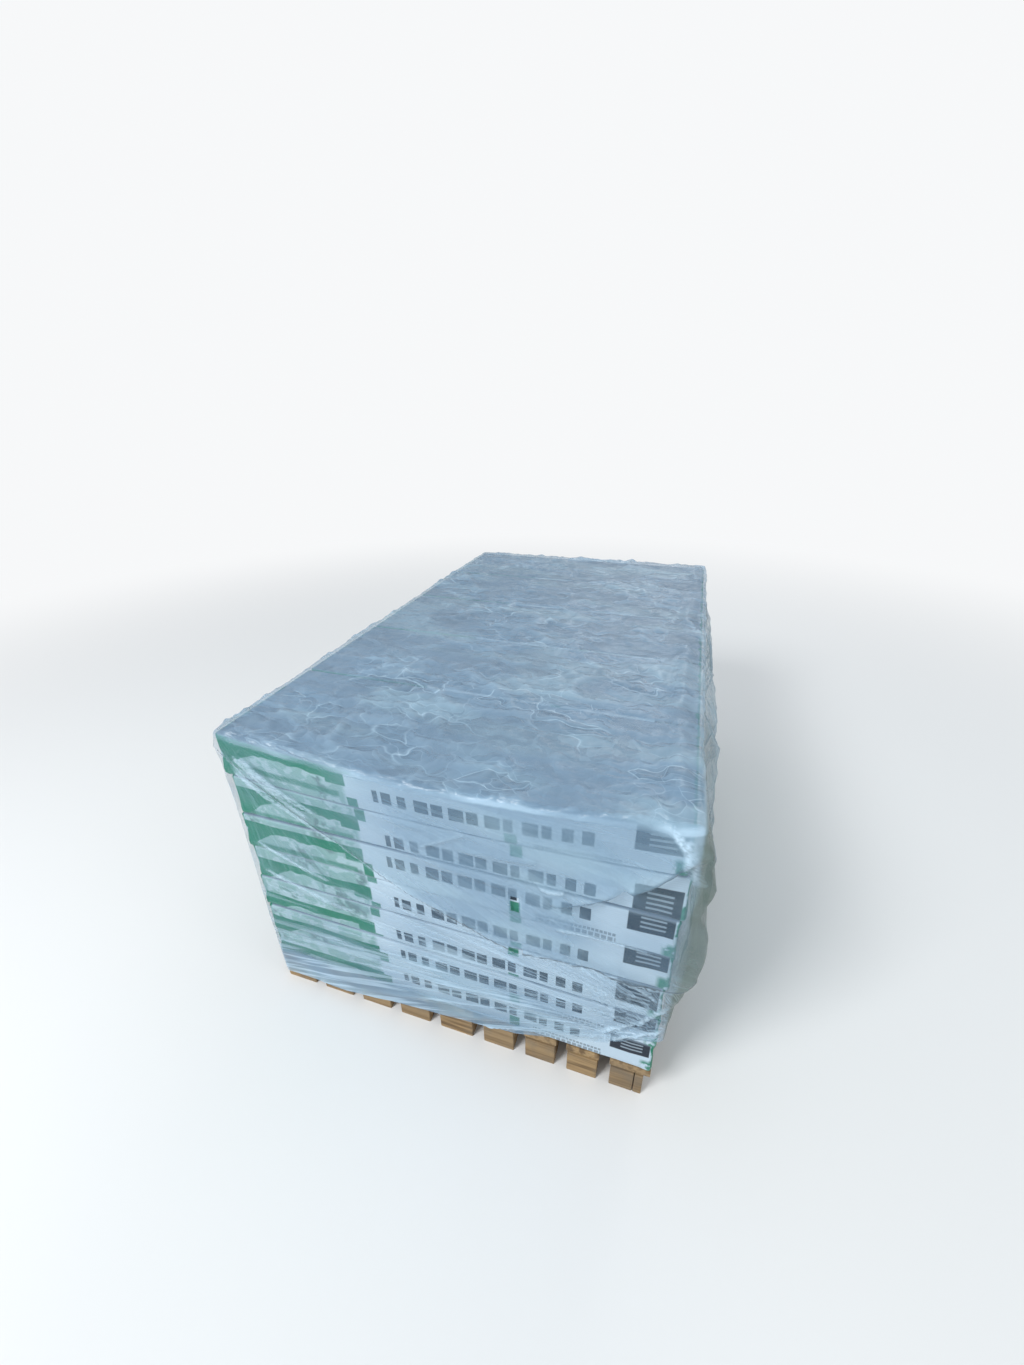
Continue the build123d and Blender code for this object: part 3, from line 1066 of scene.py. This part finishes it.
def build_crumples(tree, place, warp, scale):
    """Creased film: the distance to the nearest edge of a net of random cells, which is a roof over each
    cell. Warp bends the net. Crease is a thin line along the net, and each cell also gets a tone of its
    own, so that the line is strong round some cells and gone round others. The film's colour also uses
    the tone as painted shade, darkening some cells as facets that turn from the light."""
    bent = place.vector("ADD", warp.vector("SCALE", CRUMPLE_WARP))
    net = {"Vector": bent.vector("MULTIPLY", CRUMPLE_STRETCH), "Scale": scale}
    roof = Node(tree, "TexVoronoi", net, feature="DISTANCE_TO_EDGE", voronoi_dimensions="2D")["Distance"]
    cell = Node(tree, "TexVoronoi", net, feature="F1", voronoi_dimensions="2D")["Color"]
    tone = cell.parts()[0]
    crease = roof.step(0.0, 0.060, 1.0, 0.0) * tone.step(0.35, 0.85)
    return {"Height": roof, "Crease": crease, "Tone": tone}


crumple_group = new_group("crumples", {"Place": None, "Warp": None, "Scale": 13.0}, build_crumples)

# %% Film finish
FILM_COLOUR = hue(0.24, 0.395, 0.545)
FILM_LIGHT = hue(0.33, 0.51, 0.64)
# Painted shade for crumple facets that turn away from the light.
FILM_FACET_SHADE = hue(0.14, 0.24, 0.34)
# Partly the whitening of creased, stretched film and partly painted highlight.
FILM_WHITENED_AND_HIGHLIT = hue(0.56, 0.74, 0.88)
# Painted shadow for the line under the crinkled edge and the lines under the pouch's folds.
FILM_PAINTED_SHADOW = hue(0.05, 0.075, 0.10)
# Painted shade, dark and greenish, on the baggy film at the right-hand side.
FILM_SIDE_SHADE = hue(0.10, 0.130, 0.080)
FILM_CLEAREST = 0.06
FILM_MILKIEST = 0.60
# Small holes where the film is torn over the edge of a bundle: left, right, low and high on the front.
FILM_TEARS = ((0.1780, 0.1960, 0.523, 0.566), (0.1725, 0.2040, 0.392, 0.409))
FILM_TEAR_BLUR = 0.002
# How fine the stretch lines are, and how far they run: from the upper left, and to the lower right.
FAN_LINES = (36.0, 0.30)
PULL_LINES = (52.0, 0.35)
CRUMPLE_SCALES = (13.0, 34.0)


def film_material():
    """Milky film: more solid where it is double or creased, with fine stretch lines that follow the pull,
    crumples on the slack parts with painted shade on some facets, painted highlight and shadow lines along
    the folds and the crinkled edge, a painted highlight along the top edges, painted shade on the baggy
    right-hand side, and two small tears."""
    material, tree, shader = new_material("milky_film")
    crease, milky, baggy, edge, top, fold, shade = (
        Node(tree, "Attribute", attribute_name="film_" + name)["Fac"]
        for name in ("crease", "milky", "baggy", "edge", "top", "fold", "shade")
    )
    where = Node(tree, "TexCoord")["Object"]
    x, y, z = where.parts()
    on_front = y.math("LESS_THAN", -half_long + 0.004)
    # Flat coordinates that run on over the edges: the height is added to both, so no side is squashed.
    laid = Node(tree, "CombineXYZ", {"X": x + z * 0.7, "Y": y + z})[0]

    def noise(scale, wide=1.0, deep=1.0, detail=1.0):
        drawn = laid.vector("MULTIPLY", (scale * wide, scale * deep, 1.0))
        return drawn.noise(1.0, detail, noise_dimensions="2D")

    def stretched(centre, fineness, length):
        inputs = {"Place": where, "Centre X": centre[0], "Centre Z": centre[1],
                  "Fineness": fineness, "Length": length}
        return Node(tree, "Group", inputs, node_tree=pull_group)["Line"]

    # Stretch lines: below the crinkled edge to the lower right, and at the left to the upper left.
    above = edge.step(-0.002, 0.004)
    leftwards = x.step(-0.10, -0.32) * z.step(0.34, 0.50)
    fanned = stretched(FAN_CENTRE, *FAN_LINES) * (leftwards * 0.5).most(above * 0.2)
    pulled = stretched(PULL_CENTRE, *PULL_LINES) * ((1.0 - above) * (1.0 - leftwards))
    lines = (fanned * on_front).most(pulled * on_front)

    # Crumples: flat facets between sharp creases, drawn out from side to side on the top.
    patch = noise(5.0)[0]
    warp = noise(16.0)["Color"]
    large, fine = (
        Node(tree, "Group", {"Place": laid, "Warp": warp, "Scale": scale}, node_tree=crumple_group)
        for scale in CRUMPLE_SCALES
    )
    bunched = x.step(0.26, 0.42) * z.step(0.50, 0.40)
    crumpled = top.most(bunched * on_front * 0.9, (1.0 - on_front) * 0.5)
    scribble = (large["Crease"] * 0.8 + fine["Crease"] * 0.5) * crumpled * patch.step(0.40, 0.60, 0.25, 1.0)

    # The crinkled edge: a painted shadow line where the outer turn of film lies over, with a band of
    # bright crinkles below it, partly whitened film and partly painted highlight. Then the folds' own
    # lines: painted highlights, and painted shadows under the pouch.
    crinkle = noise(150.0, 0.8, 1.1, 2.0)[0]
    band = edge.step(-0.020, -0.003) * edge.step(0.0, 0.003, 1.0, 0.0) * on_front
    fold_highlight = fold.step(0.24, 0.74) * crinkle.step(0.38, 0.54, 0.70, 1.0)
    bright = (band * crinkle.step(0.42, 0.53)).most(fold_highlight)
    dark = (abs(edge).step(0.0010, 0.0036, 1.0, 0.0) * on_front).most(shade.step(0.40, 0.95) * 0.8)

    # How pale the film is, how solid, and its colour. The paleness of creases, stretch lines, crumples and
    # folds is partly the whitening of creased, stretched film and partly painted highlight, and the rim is
    # a painted highlight along the film's rounded top edges.
    pale = crease * 0.42 + lines * 0.50 + scribble * 0.5
    rim = top.step(0.04, 0.35) * top.step(0.98, 0.55)
    pale = pale.most(rim * patch.step(0.36, 0.60, 0.12, 0.55), bright)
    pale = pale.math("MINIMUM", 1.0) * baggy.step(0.0, 1.0, 1.0, 0.35)
    milk = Node(tree, "MapRange", {"Value": milky, "To Min": FILM_CLEAREST, "To Max": FILM_MILKIEST})
    solid = milk["Result"] + pale * 0.46 + patch.step(0.35, 0.65, -0.05, 0.07) + baggy * 0.33
    solid = solid.math("ADD", dark * 0.30, clamp=True)
    for tear in FILM_TEARS:
        solid = solid * (1.0 - bar(where, *tear, FILM_TEAR_BLUR) * on_front)

    colour = noise(5.5, 0.6, 1.5)[0].step(0.44, 0.66).mix(FILM_COLOUR, FILM_LIGHT)
    # Painted shade: the crumples' cells get darker by their tone, as facets that turn from the light.
    facet_shade = (large["Tone"] * 0.55 + fine["Tone"] * 0.45).step(0.30, 0.95)
    colour = (facet_shade * crumpled * 0.62).mix(colour, FILM_FACET_SHADE)
    # Painted shade on the baggy film that hangs off the right-hand side.
    colour = (baggy * 0.85).mix(colour, FILM_SIDE_SHADE)
    colour = pale.mix(colour, FILM_WHITENED_AND_HIGHLIT)
    facet = large["Height"] * 1.4 + fine["Height"] * 0.5
    set_inputs(shader, {
        # The painted shadow lines go over the colour last.
        "Base Color": (dark * 0.8).mix(colour, FILM_PAINTED_SHADOW),
        "Alpha": solid,
        "Normal": (facet * crumpled + crinkle * 0.12).bump(0.9, 0.006),
        "Roughness": 0.26,
        "Specular IOR Level": 0.38,
    })
    return material


film_piece = make_piece("film_bag", film_points, film_faces, film_material(), film_values)
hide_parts("film_cover")

ring = film_points[film_faces]
film_area = 0.5 * np.linalg.norm(np.cross(ring[:, 2] - ring[:, 0], ring[:, 3] - ring[:, 1]), axis=1).sum()
print("film area", round(film_area, 2), "square metres")

# %% [markdown]
# ## The pallet's wood
#
# The pallet's boards and blocks keep their solids and get a sawn, weathered wood. Grain is noise that
# is stretched along the board. The boards differ from one another, so each gets its own tint from a
# board number, which is counted across the gaps between the deck boards.

# %% Board numbers
BOARD_GAPS = (0.015, 0.05)

deck_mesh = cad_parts["deck_boards"].data
deck_x = np.empty(len(deck_mesh.vertices) * 3)
deck_mesh.vertices.foreach_get("co", deck_x)
deck_x = np.unique(np.round(deck_x[::3], 4))
spans = np.diff(deck_x)
is_gap = (spans > BOARD_GAPS[0]) & (spans < BOARD_GAPS[1])
gap_centres = ((deck_x[:-1] + deck_x[1:]) / 2)[is_gap].tolist()
print("gaps between deck boards at", [round(c, 3) for c in gap_centres])

# %% Wood
WOOD_LIGHT = hue(0.40, 0.265, 0.125)
WOOD_DARK = hue(0.13, 0.078, 0.035)
WOOD_GREY = hue(0.17, 0.138, 0.100)
GRAIN_ACROSS = 42.0
GRAIN_ALONG = 3.0
GRAIN_NOISE = (1.6, 6.0)
DIRT_NOISE = (14.0, 4.0)
# The start of the pieces' names, the axis along which their grain runs, and how dirty they are.
WOOD_KINDS = (("deck", "Y", 0.35), ("cross", "X", 0.45), ("block", "X", 0.65))


def wood_material(name, along, dirt):
    """Sawn softwood whose grain runs along an axis: stretched noise for the grain, a tint for each
    board, and dust and dirt in broad patches."""
    material, tree, shader = new_material(name)
    where = Node(tree, "TexCoord")["Object"]
    x, y, _ = where.parts()
    number = (y * 3.0).math("ROUND") * 11.0
    for centre in gap_centres:
        number = number + x.math("GREATER_THAN", centre)
    chance = Node(tree, "TexWhiteNoise", {"W": number}, noise_dimensions="1D")
    moved = where.vector("ADD", chance["Color"])
    stretch = [GRAIN_ALONG if axis == along else GRAIN_ACROSS for axis in "XYZ"]
    grain = Node(tree, "Mapping", {"Vector": moved, "Scale": stretch})[0].noise(*GRAIN_NOISE)[0]
    patch = moved.noise(*DIRT_NOISE)[0]
    colour = grain.step(0.38, 0.66).mix(WOOD_LIGHT, WOOD_DARK)
    tint = chance["Value"].step(0.0, 1.0, 0.0, 0.55)
    colour = tint.mix(colour, grain.mix(WOOD_GREY, WOOD_LIGHT))
    set_inputs(shader, {
        "Base Color": (patch.step(0.45, 0.70) * dirt).mix(colour, WOOD_GREY),
        "Roughness": grain.step(0.3, 0.7, 0.72, 0.92),
        "Normal": grain.bump(0.6, 0.0015),
    })
    return material


wood_nodes = 0
for start, along, dirt in WOOD_KINDS:
    finish = wood_material(start + "_wood", along, dirt)
    for node_name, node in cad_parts.items():
        if node_name.startswith(start):
            wood_nodes += 1
            for material_slot in node.material_slots:
                material_slot.material = finish
print("wood on", wood_nodes, "nodes")
